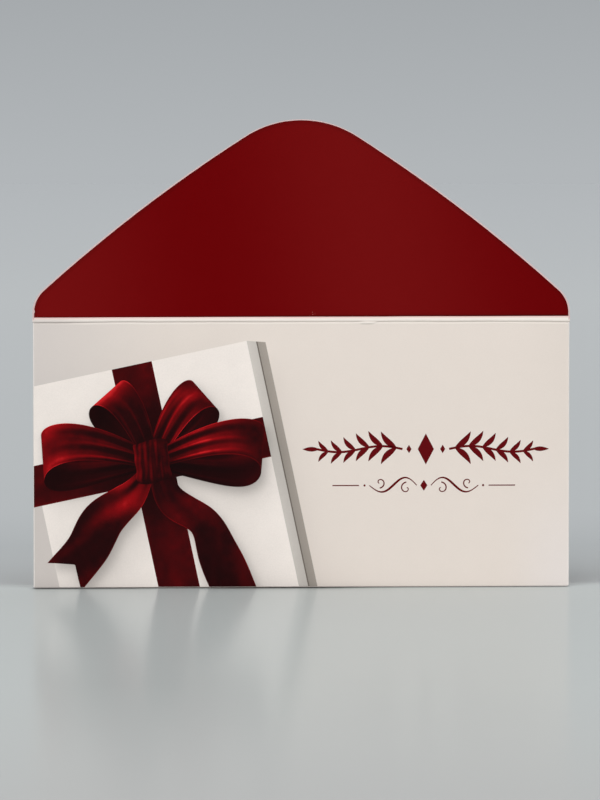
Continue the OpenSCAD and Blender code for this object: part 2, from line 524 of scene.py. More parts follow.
class Bow(Build):
    """The bow's layers, each a sheet of ink a little above the last, and the dots that cast its shadow."""

    LAYER = 0.006

    def __init__(self):
        super().__init__()
        self.layers, self.shadow = 0, []

    def sheet(self, surface, brightness, casts=True):
        self.layers += 1
        self.ink(surface[..., 0], surface[..., 1], self.LAYER * self.layers, velvet(brightness))
        if casts:
            self.shadow.append(surface[..., :2].reshape(-1, 2))

    def loop(self, angle, length, depth, width, tilt, seed, droop, skew, side=1):
        """One loop: its far strand seen from inside, then its near strand. side is -1 for one to the left."""
        for strand, start in enumerate((1.0, 0.0)):
            s, v = crossed(np.linspace(start, 0.5, 90), np.linspace(-1, 1, 34))
            out = np.sin(pi * s)
            x = length * out ** 0.92
            pleats = 0.80 * waved(2.4 * v + 0.35 + 0.3 * sin(seed)) + 0.20 * waved(5.3 * v + 0.1 * seed)
            h = depth * np.sin(2 * pi * s) + (1 - out) ** 1.1 * pleats
            h = h + 0.75 * out ** 2 * waved(1.1 * v + 1.7 * s + 0.37 * seed)
            z = v * width / 2 * (0.30 + 0.70 * out ** 0.62) * (1 + 0.06 * np.sin(5 * s + seed))
            z, h = turned(z, h, radians(tilt))
            x = x + skew * z * out ** 2
            z = z - droop * (x / length) ** 2
            surface = at_knot(x, z, h, radians(angle), side)
            light = np.ones_like(s) if strand else 0.30 + 0.34 * soft((v + 0.2) / 1.1)
            light = light * (0.42 + 0.58 * soft(out * 2.2))
            self.sheet(surface, pile(surface, light, seed * 7 + strand) + 0.28 * hem(v) * light)

    def tail(self, path, twist, seed, notch=0.0):
        """A free ribbon end along a path of (x, z, height), turned about its own line by twist (mean, swing,
        turns and start), cut off square or with a notch."""
        line = spline(path, 200)
        step = steps_along(line[:, :2])
        s, v = crossed(np.linspace(0, 1, 110), np.linspace(-1, 1, 34))
        at = s * (1 - notch * (1 - np.abs(v)) / step[-1]) * step[-1]
        share = at / step[-1]
        way = unit(np.gradient(line[:, :2], axis=0))
        x, z, h, tx, tz = (np.interp(at, step, values) for values in np.c_[line, way].T)
        mean, swing, turns, start = twist
        theta = mean + swing * np.sin(pi * (turns * share + start))
        off = v * RIBBON_W / 2 * (0.42 + 0.58 * soft(share * 3.2))
        pleats = (1 - soft(share * 2.6)) * 0.8 * waved(2.2 * v + 0.3 * seed)
        waves = 0.55 * waved(1.3 * v + 2.2 * share + 0.41 * seed)
        across = off * np.cos(theta)
        surface = joined(x - tz * across, z + tx * across, h + off * np.sin(theta) + pleats + waves)
        light = 0.35 + 0.65 * soft(share * 3.0)
        self.sheet(surface, pile(surface, light, seed * 7) + 0.28 * hem(v) * light)

    def band(self, end, seed):
        """A ribbon pulled flat along the box from the knot to its end."""
        s, v = crossed(np.linspace(0, 1, 90), np.linspace(-1, 1, 26))
        across = left_of(unit(end - KNOT)) * BAND_W / 2
        at = KNOT + (end - KNOT) * s[..., None] + across * v[..., None]
        h = 0.22 * waved(1.4 * v + 0.5 * s + seed * 0.3) + 0.3 * waved(0.7 * v + 1.9 * s + seed)
        surface = joined(at[..., 0], at[..., 1], h)
        light = 0.38 + 0.62 * soft((np.linalg.norm(at - KNOT, axis=-1) - 9) / 17)
        bright = (0.12 + 0.16 * hem(v, 0.92, 0.04)) * light
        self.sheet(surface, pile(surface, light, seed * 7, gain=1.15) + bright, casts=False)

    def knot(self, seed, wide=5.2, high=6.6, deep=4.0):
        u, v = crossed(np.linspace(-1, 1, 60), np.linspace(-1, 1, 50))
        side = np.sin(u * pi / 2)
        x = wide * side * (1 + 0.10 * v ** 2 - 0.16 * v ** 6 + 0.03 * np.sin(7 * v + 1))
        z = high * v * (1 - 0.10 * side ** 2) + 0.4 * np.sin(3 * u)
        folds = 0.42 * waved(3.1 * side + 0.5 * v + 0.3) + 0.2 * waved(6.3 * side - 0.6 * v)
        h = deep * waved(u / 2) * (1 - 0.25 * v ** 4) + folds
        surface = at_knot(x, z, h, radians(7))
        light = (0.55 + 0.45 * soft((1 - np.abs(v)) * 4)) * 1.05
        self.sheet(surface, pile(surface, light, seed) + 0.02)


bow = Bow()
bow.band(BOX_CORNER - ALONG * ((BOX_CORNER - KNOT) @ ALONG), 3)
bow.band(KNOT - UP * 52, 4)
bow.band(KNOT - ALONG * 46, 5)
bow.band(BOX_CORNER - UP * ((BOX_CORNER - KNOT) @ UP), 6)
bow.tail([(-46, 38, 2), (-52, 29, 6), (-61, 21, 5), (-66, 12, 3), (-73, 3.5, 3)],
         twist=(0.30, 0.5, 1.6, 0.2), seed=11, notch=5)
bow.tail([(-45, 38, 2), (-40, 27, 6), (-30, 20, 6), (-25, 9, 3), (-17, -9, 2)],
         twist=(-0.25, 0.55, 1.7, 0.9), seed=12)
bow.loop(53, 26, 6.5, 14.0, -34, 21, droop=1.0, skew=0.2)
bow.loop(57, 25, 6.5, 14.0, -30, 22, droop=1.0, skew=0.15, side=-1)
bow.loop(10, 34, 8.0, 16.0, -35, 23, droop=3.0, skew=0.25)
bow.loop(8, 33.5, 8.0, 16.0, -32, 24, droop=3.5, skew=0.2, side=-1)
bow.knot(31)

# Soft shadow of the bow on the box, as a coarse grid that is only sampled at mesh points
CELL = 0.5
SHADE_X, SHADE_Z = np.arange(-90, 20, CELL), np.arange(-10, 92, CELL)


def blurred(mask, width):
    reach = int(3 * width / CELL)
    weights = bell(np.arange(-reach, reach + 1) * CELL, sqrt(2) * width)
    weights /= weights.sum()
    for axis in (0, 1):
        mask = np.apply_along_axis(lambda row: np.convolve(row, weights, "same"), axis, mask)
    return mask


def sampled(grid, x, z):
    u = np.clip((x - SHADE_X[0]) / CELL, 0, len(SHADE_X) - 1.001)
    v = np.clip((z - SHADE_Z[0]) / CELL, 0, len(SHADE_Z) - 1.001)
    i, j = u.astype(int), v.astype(int)
    return between(grid, i, j, i + 1, j + 1, u - i, v - j)


mask = np.zeros((len(SHADE_X), len(SHADE_Z)))
for dots in bow.shadow:
    i, j = ((dots - (SHADE_X[0], SHADE_Z[0])) / CELL).round().astype(int).T
    ok = (i >= 0) & (i < len(SHADE_X)) & (j >= 0) & (j < len(SHADE_Z))
    mask[i[ok], j[ok]] = 1
near_shade, far_shade = blurred(mask, 1.3), blurred(mask, 4.5)


def bow_shade(x, z):
    """How much light the bow leaves on what lies behind it."""
    near = 1 - 0.36 * sampled(near_shade, x - 1.2, z + 1.8)
    return near * (1 - 0.27 * sampled(far_shade, x - 3.0, z + 4.0))


def background(x, z):
    """Colour of the printed cream ground, with the box's soft shadow on it, and painted light: a little
    lighter higher up, darker near the upper right.
    """
    from_corner = joined(x, z) - (BOX_CORNER + SIDE_FACE)
    right, above = from_corner @ ALONG, from_corner @ UP
    beside = 0.09 * np.exp(-np.clip(right, 0, None) / 4.0) * soft(-above / 16) * (right > -8)
    over = 0.10 * np.exp(-np.clip(above + 3.0, 0, None) / 7.0) * soft(-right / 14)
    # Painted light: a little lighter higher up, darker near the upper right corner
    painted_light = 1 + 0.018 * soft((z - 40) / 45) - 0.035 * soft((x - 62) / 22) * soft((z - 20) / 60)
    ground = mixed(CREAM, CREAM_LEFT, soft((-30 - x) / 60) * 0.95)
    ground = mixed(ground, CREAM_FOOT, soft((x - 60) / 20) * soft((45 - z) / 45))
    return ground * (painted_light * (1 - beside - over))[..., None]


# The pocket's printed front and its folds
def front():
    z, x = crossed(np.linspace(FOLD_R, WEB_FROM, 130), np.linspace(-FRONT_HALF_W, FRONT_HALF_W, 260))
    outer = on_front(x, z)
    build = slab(outer, outer + (0, CARD, 0), background(x, z), smooth=False, ends=(False,) * 4)
    front_card = build.done("front_card", CREAM_CARD)
    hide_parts("front_panel")


def fold(name, run, depth, flip, place, paint):
    """A pressed fold along a run. place makes points from the run, how far out the fold is there and Y, and
    paint makes colours from the run and the length round the fold. flip turns the faces outwards."""
    run, a = run[:, None], np.linspace(0, pi / 2, 9)

    def bent(r):
        y = FRONT_Y + np.r_[FOLD_R - r * np.cos(a), depth - FOLD_R + r * np.cos(a[::-1])]
        return place(run, r * np.sin(np.r_[a, a[::-1]]), y)

    colours = paint(run, np.r_[a, pi - a[::-1] + (depth - 2 * FOLD_R) / FOLD_R] * FOLD_R)
    grids = (grid[::flip[0], ::flip[1]] for grid in (bent(FOLD_R), bent(FOLD_IN_R), colours))
    return slab(*grids, ends=(True, True, False, False)).done(name, CREAM_CARD)


def side_fold(side, name):
    def place(z, out, y):
        return joined(side * (FRONT_HALF_W + out), y, z)

    def paint(z, length):
        # Wear and a painted highlight: paler in a line where the fold turns
        worn = bell(length - 0.26, 0.24) * (0.60 + 0.3 * noise(z * 0.8, length * 3, 41 + side))
        return mixed(background(side * (FRONT_HALF_W + length * 0.5), z), WEAR_AND_HIGHLIGHT, worn)

    run = np.linspace(FOLD_R, SIDE_TOP_Z, 164)
    made = fold(f"{name}_fold_card", run, SIDE_T, (1, side), place, paint)
    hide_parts(f"{name}_side_fold")


def bottom_fold():
    def place(x, out, y):
        return joined(x, y, FOLD_R - out)

    def paint(x, length):
        worn = bell(length - 0.2, 0.12) * 0.35 * noise(x * 0.7, length * 3, 45)
        return mixed(background(x, FOLD_R - length), WEAR_AND_HIGHLIGHT, worn)

    run = np.linspace(-FOOT_HALF_W, FOOT_HALF_W, 250)
    made = fold("bottom_fold_card", run, BODY_T, (-1, 1), place, paint)
    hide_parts("bottom_fold")


front()
for side, name in SIDES:
    side_fold(side, name)
bottom_fold()

# The box under the bow, and the shares of its side that are lid, seam under the lid and body
BOX_W, BOX_H, BOX_LIFT = 72, 82, 0.003
LID_SHARE, SEAM_SHARE, BODY_SHARE = 0.50, 0.07, 0.43
BOX_TOP, BOX_LID, BOX_SEAM, BOX_SIDE = (
    tone(*colour) for colour in ((243, 234, 227), (210, 203, 196), (112, 103, 96), (170, 161, 152)))
# Where the picture ends round the side and bottom folds, and how many cuts let it bend there
ART_LEFT, ART_FOOT, ART_CUTS = -FRONT_HALF_W - 0.22, FOLD_R - 0.06, 6


def printed(build, name, slot):
    """Puts the flat picture on the card, cut off at its bleed and cut into narrow strips round the folds."""
    bm = bmesh.new()
    paint = bm.verts.layers.float_color.new("print")
    verts = [bm.verts.new(p) for p in np.concatenate(build.points).tolist()]
    for v, c in zip(verts, np.concatenate(build.colours).tolist()):
        v[paint] = (*c, 1)
    for f in build.faces:
        bm.faces.new([verts[i] for i in f])
    for axis, limit, near in ((0, ART_LEFT, -FRONT_HALF_W), (2, ART_FOOT, FOLD_R)):
        for at in np.linspace(near, limit, ART_CUTS):
            edge = [f for f in bm.faces if min(v.co[axis] for v in f.verts) < near]
            corners = dict.fromkeys(v for f in edge for v in f.verts)
            borders = dict.fromkeys(e for f in edge for e in f.edges)
            co, no = [0, 0, 0], [0, 0, 0]
            co[axis], no[axis] = at, -1
            bmesh.ops.bisect_plane(bm, geom=[*edge, *corners, *borders], dist=1e-5, plane_co=co, plane_no=no,
                                   clear_outer=bool(at == limit))
    bmesh.ops.delete(bm, geom=[v for v in bm.verts if not v.link_faces], context="VERTS")
    bm.verts.index_update()
    x, lift, z = np.array([v.co for v in bm.verts], float).T
    colours = np.array([v[paint][:3] for v in bm.verts], float)
    faces = [[v.index for v in f.verts] for f in bm.faces]
    bm.free()
    piece(name, on_front(x, z, lift), faces, colours, ([ink_mat], slot))


def box_face(build, corner, across, columns, rows, colour, shade):
    """A flat side of the box with its light falling off, as a grid of ink."""
    s, t = crossed(np.linspace(0, 1, columns), np.linspace(0, 1, rows))
    x, z = np.moveaxis(corner + across * s[..., None] - UP * BOX_H * t[..., None], -1, 0)
    build.ink(x, z, BOX_LIFT, colour * (shade(s, t) * bow_shade(x, z))[..., None])


def printed_box():
    build = Build()
    seam_at = BOX_CORNER + SIDE_FACE * LID_SHARE
    body_at = seam_at + SIDE_FACE * SEAM_SHARE
    box_face(build, BOX_CORNER, -ALONG * BOX_W, 150, 170, BOX_TOP,
             lambda s, t: 1 - 0.025 * s - 0.02 * soft(t * 1.2) + 0.02 * soft(1 - s * 12))
    box_face(build, BOX_CORNER, SIDE_FACE * LID_SHARE, 8, 120, BOX_LID, lambda s, t: 1 - 0.10 * (t + s))
    box_face(build, seam_at, SIDE_FACE * SEAM_SHARE, 4, 120, BOX_SEAM, lambda s, t: 1.0)
    box_face(build, body_at, SIDE_FACE * BODY_SHARE, 8, 120, BOX_SIDE, lambda s, t: 1 - 0.12 * (t + 1 - s))
    printed(build, "printed_box", CREAM_SLOT)


printed_box()
printed(bow, "printed_bow", RED_SLOT)


# Ornament on the right of the front
class Ornament(Build):
    """Strokes of ink on the flat front, each a trifle above the last."""

    def __init__(self):
        super().__init__()
        self.lift = 0.004

    def stroke(self, x, z, widths):
        """A stroke along a line with a width at each point."""
        line = joined(x, z)
        half = left_of(unit(np.gradient(line, axis=0))) * np.reshape(widths, (-1, 1)) / 2
        self.lift += 0.00005
        self.strip(*(on_front(*edge.T, self.lift) for edge in (line - half, line + half)), INK, PRINTED)

    def leaf(self, root, angle, length, width, bend=0.0):
        t = np.linspace(0, 1, 24)
        x, z = turned(length * t, bend * length * np.sin(pi * t * 0.9) * 0.5, angle)
        self.stroke(root[0] + x, root[1] + z, width * np.sin(pi * t ** 0.85) ** 0.9 + 0.02)

    def dot(self, at, r):
        t = np.linspace(-1, 1, 17)
        self.stroke(at[0] + r * t, at[1], 2 * r * np.sqrt(np.clip(1 - t ** 2, 0, 1)))

    def diamond(self, at, wide, high):
        self.stroke(at[0] + wide / 2 * np.linspace(-1, 1, 3), at[1], np.array([0.0, high, 0.0]))

    def spiral(self, at, r, start, way, width=0.42, turns=0.9):
        t = np.linspace(0, 1, 60)
        radius, a = r * (1 - 0.86 * t), start + way * 2 * pi * turns * t
        self.stroke(at[0] + radius * np.cos(a), at[1] + radius * np.sin(a), width * (1 - 0.35 * t))


# Middles of the laurel band and the scroll below it, and how far the laurel's stems reach
LAUREL, SCROLL = np.array([[38.2, 42.6], [37.6, 31.4]])
STEM_FROM, STEM_TO, STEM_WAVE, LEAF_PAIRS = 7.2, 33.5, 0.9, 6


def stem_height(at):
    return STEM_WAVE * np.sin((at - STEM_FROM) / (STEM_TO - STEM_FROM) * pi * 2)


def laurel(orn, side):
    """One half of the band: a diamond, a waving stem, its pairs of leaves and the leaf at its end."""
    outward = 0 if side > 0 else pi
    orn.diamond(LAUREL + (side * 5.2, 0), 1.6, 2.6)
    x = np.linspace(STEM_FROM, STEM_TO, 60)
    orn.stroke(LAUREL[0] + side * x, LAUREL[1] + stem_height(x), 0.7)
    for k in range(LEAF_PAIRS):
        at = 9.0 + k * 4.2
        root = LAUREL + (side * at, stem_height(at))
        for turn in (-side, side):
            angle, bend = outward + turn * radians(48), -0.22 * turn
            orn.leaf(root, angle, 7.0 - 0.5 * k, 1.85 - 0.12 * k, bend)
    orn.leaf(LAUREL + (side * 33.0, 0), outward, 5.0, 1.4)


def scroll(orn, side):
    """One half of the scroll: a line, a sweep with two spirals, and a dot."""
    orn.stroke(SCROLL[0] + side * np.linspace(20.0, 28.2, 12), SCROLL[1], 0.34)
    t = np.linspace(0, 1, 70)
    swell = 2.6 * np.sin(pi * 2 * t) * (1 - 0.3 * t)
    orn.stroke(SCROLL[0] + side * (2.2 + 14.6 * t), SCROLL[1] + swell, 0.28 + 0.42 * np.sin(pi * t) ** 2)
    orn.spiral(SCROLL + (side * 5.4, -0.9), 1.9, pi / 2, -side)
    orn.spiral(SCROLL + (side * 13.6, 0.9), 1.7, -pi / 2, -side)
    orn.dot(SCROLL + (side * 18.3, 0), 0.34)


ornament = Ornament()
ornament.diamond(LAUREL, 5.0, 9.6)
for half in (laurel, scroll):
    for side, _ in SIDES:
        half(ornament, side)
ornament.diamond(SCROLL, 2.2, 3.4)
ornament.done("printed_ornament", ([ink_mat], CREAM_SLOT))


# The crease: the front panel's top, pressed line, bleed of the cream print, and the start of the red flap.
# Here h is the height above the groove's true middle
def crease_dip(x):
    """How far the pressed line runs below the groove's true middle, with small ripples."""
    ripple = 0.10 * (noise(x * 0.09 + 3, 0.5, 51) - 0.5) + 0.05 * (noise(x * 0.5, 2.5, 52) - 0.5)
    return 0.21 + 0.20 * soft((-x - 50) / 30) + 0.13 * soft((x - 68) / 14) + ripple


def wrinkle_dip(x):
    """The second, lower line of the wrinkle right of the middle, which steps up into the main line."""
    return crease_dip(x) + 0.74 * (1 - soft((x - 21.0) / 2.8))


def red(x, h):
    """Red of the flap and the back, with broad soft bands of painted sheen across the width."""
    return mixed(RED_DEEP, RED_SHEEN, 0.5 + 0.5 * np.cos(2 * pi * (x - 27 + 0.18 * h) / 105))


def red_from(x):
    """Height at which the cream print ends and the red begins."""
    return 1.32 + 0.16 * x / CREASE_HALF_W + 0.05 * (noise(x * 0.12, 7.5, 53) - 0.5)


def darkened(x, h, gap):
    """Red at a gap from its cut edge, dark near it, and along its lower edge, which lies over the cream."""
    right = soft((x + 45) / 60)
    overprint = (0.52 + 0.26 * right) * bell(h - red_from(x), 0.38 + 0.16 * right)
    return mixed(red(x, h), RED_LINE, np.maximum(overprint, 0.34 * bell(gap, 0.85)))


WEB_HALF_W, START_H = CREASE_HALF_W + EDGE_OUT, WEB_TO - BODY_H
# Shares of the way from the red's lower edge to the strip's end where the strip has rows of points
RED_ROW_SHARES = np.r_[0.0, 0.04, 0.12, 0.22, 0.34, 0.5, 0.65, 0.8] / 0.8


def crease_grid():
    """Rows of points (x, h) up the strip, denser at its ends and wrinkle, with one where the red begins."""
    round_worn = WORN + np.array([-0.04, -0.01, 0.01, 0.05, 0.25])
    near_ends = 1 - np.r_[0.06, 0.15, 0.25, 0.35, round_worn] / WEB_HALF_W
    xs = np.unique(np.r_[np.linspace(-1, 1, 331), np.linspace(0.12, 0.32, 90), near_ends, -near_ends])
    grid = []
    for h in np.unique(np.r_[np.linspace(WEB_FROM - BODY_H, 0.5, 46), np.linspace(0.5, 1.3, 14)]):
        x = xs * np.where(h < -0.4, FRONT_HALF_W, WEB_HALF_W)
        grid.append(joined(x, np.where(h > 0.9, 0.9 + (h - 0.9) / 0.4 * (red_from(x) - 0.01 - 0.9), h)))
    x = xs * WEB_HALF_W
    start = red_from(x) + 0.01
    return np.array(grid + [joined(x, start + share * (START_H - start)) for share in RED_ROW_SHARES])


def crease():
    grid = crease_grid()
    x, h = grid[..., 0], grid[..., 1]
    z = BODY_H + h
    from_line, from_low = h + crease_dip(x), h + wrinkle_dip(x)
    from_end = np.abs(x[:, :1]) - np.abs(x)
    off_front = soft((h - 0.1) / 0.5)

    # Relief: the groove with its lips, the wrinkle, the bead behind and the worn corner at the two ends
    main_share = 1 - 0.85 * soft((x - 16.8) / 3.0) * (1 - soft((x - 22.2) / 1.6))
    low_share = soft((x - 17.0) / 1.6) * (1 - soft((x - 22.8) / 1.4))
    groove = np.clip(main_share * bell(from_line, 0.15) + 0.45 * low_share * bell(from_low, 0.20), 0, 1)
    lower_lip = 0.035 * bell(from_line + 0.36, 0.15) * soft(noise(x * 0.11 + 2, 0.5, 54) * 2 - 0.7)
    upper_lip = 0.07 * bell(from_line - 0.62, 0.34)
    wrinkle = 0.12 * bell(x - 20.4, 1.8) * bell(h + 0.45, 0.4)
    fade = soft((z - WEB_FROM) / 0.3) * soft((1.9 - h) / 0.5)
    worn = np.clip(1 - from_end / WORN, 0, 1) * off_front
    y = FRONT_Y - (lower_lip + upper_lip + wrinkle - 0.10 * groove) * fade + CORNER_DROP * worn
    back_y = FRONT_Y + CARD + 0.12 * bell(from_line, 0.2)

    # Paint: painted highlight above the line, on its lower lip and on the wrinkle's step, grey in the groove
    # that is partly the pressed line's tone and partly painted shade, and pinkish print just below the red
    patchy = noise(x * 0.1 + 8, 0.5, 55)
    left_end = soft((-x - 64) / 12)
    above = (0.7 - 0.55 * left_end) * soft((from_line - 0.2) / 0.2) * (h < red_from(x))
    lip_highlight = (0.45 + 0.4 * patchy) * (1 - 0.8 * left_end) * bell(from_line + 0.38, 0.20)
    step = 0.6 * low_share * soft((from_low - 0.15) / 0.2) * soft((0.1 - from_line) / 0.2)
    pressed_and_shaded = (0.45 + 0.20 * patchy + 0.42 * left_end - 0.18 * bell(x - 12, 22)) * groove
    pinkish = (0.5 + 0.4 * noise(x * 0.07 + 1, 0.5, 56)) * bell(h - red_from(x) + 0.1, 0.40)
    colours = background(x, z)
    for colour, share in (((242, 235, 227), above), ((247, 239, 231), lip_highlight), ((240, 233, 225), step),
                          ((166, 157, 150), pressed_and_shaded), ((238, 196, 190), pinkish)):
        colours = mixed(colours, tone(*colour), share)
    colours = np.where((h > red_from(x))[..., None], darkened(x, h, from_end - WORN), colours)
    colours = mixed(colours, RIM, soft((WORN - from_end) / 0.03 + 0.5) * off_front)

    # The strip leans back with the flap, the more the higher, up to the flap's lean
    lean = LEAN * soft((z - BEND_FROM) / (BEND_TO - BEND_FROM))
    row_mats = np.where(np.arange(len(grid) - 1) < len(grid) - len(RED_ROW_SHARES), PRINTED, RED)
    build = slab(*(turned_back(joined(x, at, z), lean) for at in (y, back_y)), colours,
                 ends=(False, False, True, True), row_mats=row_mats)
    web_card = build.done("crease_card", CREASE_CARD, body=None)
    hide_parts("flap_crease")
    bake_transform(web_card)


crease()


# The flap
def arc(centre, r, a, b, steps):
    t = np.linspace(a, b, steps + 1)
    return joined(centre[0] + r * np.cos(t), centre[1] + r * np.sin(t))


def flap_half():
    """Right half of the CAD flap's outline, from the crease to the tip: its arcs run on smoothly."""
    corner_c, tip_c = np.array([[CREASE_HALF_W - CORNER_R, SHOULDER_H], [0, FLAP_H - TIP_R]])
    gap = np.linalg.norm(tip_c - corner_c)
    towards = (tip_c - corner_c) / gap
    r1, r2 = SIDE_R - CORNER_R, SIDE_R - TIP_R
    along = (r1 ** 2 - r2 ** 2 + gap ** 2) / (2 * gap)
    side_c = corner_c + along * towards + sqrt(r1 ** 2 - along ** 2) * left_of(towards)
    corner_end, side_end = (atan2(*(c - side_c)[::-1]) for c in (corner_c, tip_c))
    return np.r_[[[CREASE_HALF_W, START_H]], arc(corner_c, CORNER_R, 0, corner_end, 26),
                 arc(side_c, SIDE_R, corner_end, side_end, 60)[1:],
                 arc(tip_c, TIP_R, side_end, pi / 2, 50)[1:]]


def edge_out(h):
    """How far the cut edge stands out at a height above the crease, less towards the tip."""
    return EDGE_OUT * (1 - 0.45 * soft((h - 42) / 14))


def edge_gap(points, line):
    """How far points on the flat card are from a line of points."""
    a, d = line[:-1], np.diff(line, axis=0)
    away = points[:, None] - a
    t = np.clip((away * d).sum(-1) / (d ** 2).sum(-1), 0, 1)
    return np.linalg.norm(away - t[..., None] * d, axis=-1).min(1)


def flap():
    half = flap_half()
    cut = np.r_[half, (half * (-1, 1))[::-1][1:]]
    first_last = cut[[0, -1]] + [(EDGE_OUT, 0), (-EDGE_OUT, 0)]
    cut = inset(cut, -edge_out(cut[:, 1]))
    cut[[0, -1]] = first_last
    held = [0, len(cut) - 1]

    # Lower edge, which meets the strip at the crease, with more points where the red darkens at its ends
    near_edge = np.array([0.4, 0.85, 1.5])
    near_x = WEB_HALF_W - WORN - near_edge
    outline = np.r_[cut, joined(np.sort(np.r_[near_x, -near_x, np.linspace(-80, 80, 58)]), START_H)]
    on_cut = np.arange(len(outline)) < len(cut)

    # Worn corner of the cut edge, wider low down, with one small nick at the left
    length = steps_along(outline)
    bevel = 0.07 + 0.07 * np.exp(-(outline[:, 1] - START_H) / 9)
    bevel = bevel + 0.05 * (noise(length * 0.6, 1.5, 61) - 0.4) + 0.04 * (noise(length * 2.2, 1.5, 62) - 0.5)
    nick = bell(np.linalg.norm(outline - (-WEB_HALF_W, 3.05), axis=1), 0.4)
    bevel = np.where(on_cut, bevel + edge_out(outline[:, 1]) + 0.20 * nick, 0)
    outline[:, 0] += 0.04 * nick * on_cut
    bevel[held] = WORN

    # Where the print ends at the cut edge, carried on below the lower edge
    print_end = inset(outline, bevel)[on_cut]
    print_end[[0, -1], 0] = outline[held, 0] * (1 - WORN / WEB_HALF_W)
    print_end[[0, -1], 1] = START_H - 1
    build = cut_card(outline, FRONT_Y, -1, bevel, lambda p: darkened(*p.T, edge_gap(p, print_end)), held,
                     rim=RIM, seams=[inset(outline, bevel + step)[on_cut][1:-1] for step in near_edge])
    for x, h, r in ((3.35, 2.05, 0.13), (3.25, 2.72, 0.12), (4.05, 2.25, 0.07)):
        speck = np.insert(arc((x, h), r, 0, 2 * pi, 12)[:-1], 1, FRONT_Y - 0.002, axis=1)
        build.add(speck, [range(12)], tone(178, 96, 92))
    build.points = [turned_back(points + (0, 0, BODY_H), LEAN) for points in build.points]
    flap_card = build.done("flap_card", RED_CARD, body="closing_flap")
    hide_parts("flap")


flap()


# The back panel, the glue tabs and the glue. Where the print changes, points lie on both sides of the seam
BESIDE_SEAM = (-0.03, 0.03)


def bleed_line(x):
    """Height on the back where the cream print, carried round the bottom fold, gives way to red."""
    return 1.6 + 0.05 * (noise(x * 0.1, 4.5, 64) - 0.5)


def back_paint(p):
    return np.where((p[:, 1] > bleed_line(p[:, 0]))[:, None], red(p[:, 0] * 0.8 + 40, p[:, 1]), CREAM)


def level(x_from, x_to, z):
    """Evenly spaced points on a level line, without its two ends."""
    return joined(np.linspace(x_from, x_to, 50)[1:-1], z)


def back():
    round_x, round_z = BACK_HALF_W - BACK_CORNER_R, THROAT_Z - BACK_CORNER_R
    half = np.r_[joined(BACK_HALF_W, np.linspace(FOLD_R, round_z, 40)),
                 arc((round_x, round_z), BACK_CORNER_R, 0, pi / 2, 14)[1:]]
    cut = np.r_[half, level(round_x, -round_x, THROAT_Z), (half * (-1, 1))[::-1]]
    outline = np.r_[cut, level(-BACK_HALF_W, BACK_HALF_W, FOLD_R)]
    place = np.arange(len(outline))
    on_cut = (place > 0) & (place < len(cut) - 1)
    bevel = np.where(on_cut, 0.15 + 0.08 * (noise(steps_along(outline) * 0.7, 3.5, 63) - 0.4), 0)
    x = np.linspace(-BACK_HALF_W + 0.4, BACK_HALF_W - 0.4, 400)
    seams = [joined(x, bleed_line(x) + off) for off in BESIDE_SEAM]
    build = cut_card(outline, 0.0, 1, bevel, back_paint, spacing=1.2, seams=seams)
    made = build.done("back_card", RED_CARD)
    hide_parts("back_panel")


def bleed_end(z):
    """How far out on a tab the print ends that is carried round the side fold."""
    return FRONT_HALF_W - 2.0 + 0.10 * (noise(z * 0.12, 1.5, 65) - 0.5)


def tab_paint(p):
    return np.where((np.abs(p[:, 0]) > bleed_end(p[:, 1]))[:, None], CREAM * 0.97, INSIDE)


def tab(side, name):
    corners = np.array([(FRONT_HALF_W, TAB_FOOT_Z), (FRONT_HALF_W, TAB_TOP_Z),
                        (TAB_EDGE_X, TAB_TOP_Z - TAB_TOP_FALL), (TAB_EDGE_X, TAB_FOOT_Z + TAB_FOOT_RISE)])
    t = np.arange(30)[:, None] / 30
    outline = np.concatenate([a + (b - a) * t for a, b in zip(corners, np.roll(corners, -1, 0))])
    place = np.arange(len(outline))
    on_cut = (place >= len(t)) & (place % len(t) > 0)
    if side < 0:
        outline, on_cut = (outline * (-1, 1))[::-1], on_cut[::-1]
    z = np.linspace(TAB_FOOT_Z + 0.8, TAB_TOP_Z - 2.2, 160)
    seams = [joined(side * (bleed_end(z) + off), z) for off in BESIDE_SEAM]
    bevel = np.where(on_cut, 0.12, 0)
    build = cut_card(outline, FRONT_Y + SIDE_T, 1, bevel, tab_paint, spacing=0.9, seams=seams)
    made = build.done(f"{name}_tab_card", TAB_CARD)
    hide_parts(f"{name}_glue_tab")


back()
for side, name in SIDES:
    tab(side, name)
    glue = frame["nodes"][f"{name}_glue_line"].data
    glue.materials.clear()
    glue.materials.append(glue_mat)

# Stage: a floor that reflects softly, a sky, lamps and a camera. CAM_AWAY and FLOOR_REACH are in metres
CAM_AWAY, CAM_AZ, CAM_EL = 1.5, radians(-2.54), radians(2.72)
CAM_AT, FOCAL_PX, PICTURE_H = (-0.52 * MM, 0, 57.72 * MM), 4876, 800
FLOOR_REACH = 40.0

# Tones of the floor behind the object, at the picture's rows where the camera sees it; the darker tone at row
# 545, just above the table's edge, is painted shade
FAR_TONES = ((168, (175, 179, 182)), (210, (178, 182, 185)), (300, (183, 187, 189)), (450, (180, 184, 186)),
             (510, (179, 183, 185)), (545, (174, 178, 180)), (583, (180, 184, 185)))
# Tones in front of it, scene-linear, first nearer the camera, and where on Y they change, in metres
NEAR_TONES, NEAR_CHANGE = ((0.474, 0.486, 0.484), (0.510, 0.545, 0.541)), (-0.52, -0.28)

# How dark the shadow of contact is in front of the bottom fold, at places along it, and how dark behind it
TAIL = ((-84, 0), (-81.5, 0.7), (-52, 0.7), (-44, 0.3), (-34, 0.3), (-26, 0.8), (-19, 1), (6, 1),
        (9.5, 0.85), (15.7, 0.55), (22, 0.35), (30, 0.2), (45, 0.18), (79, 0.12), (83, 0))
TAIL_BEHIND = 0.4
# How far it and its dark core fade in
TAIL_LENGTH, CORE_LENGTH = 3.8, 1.1


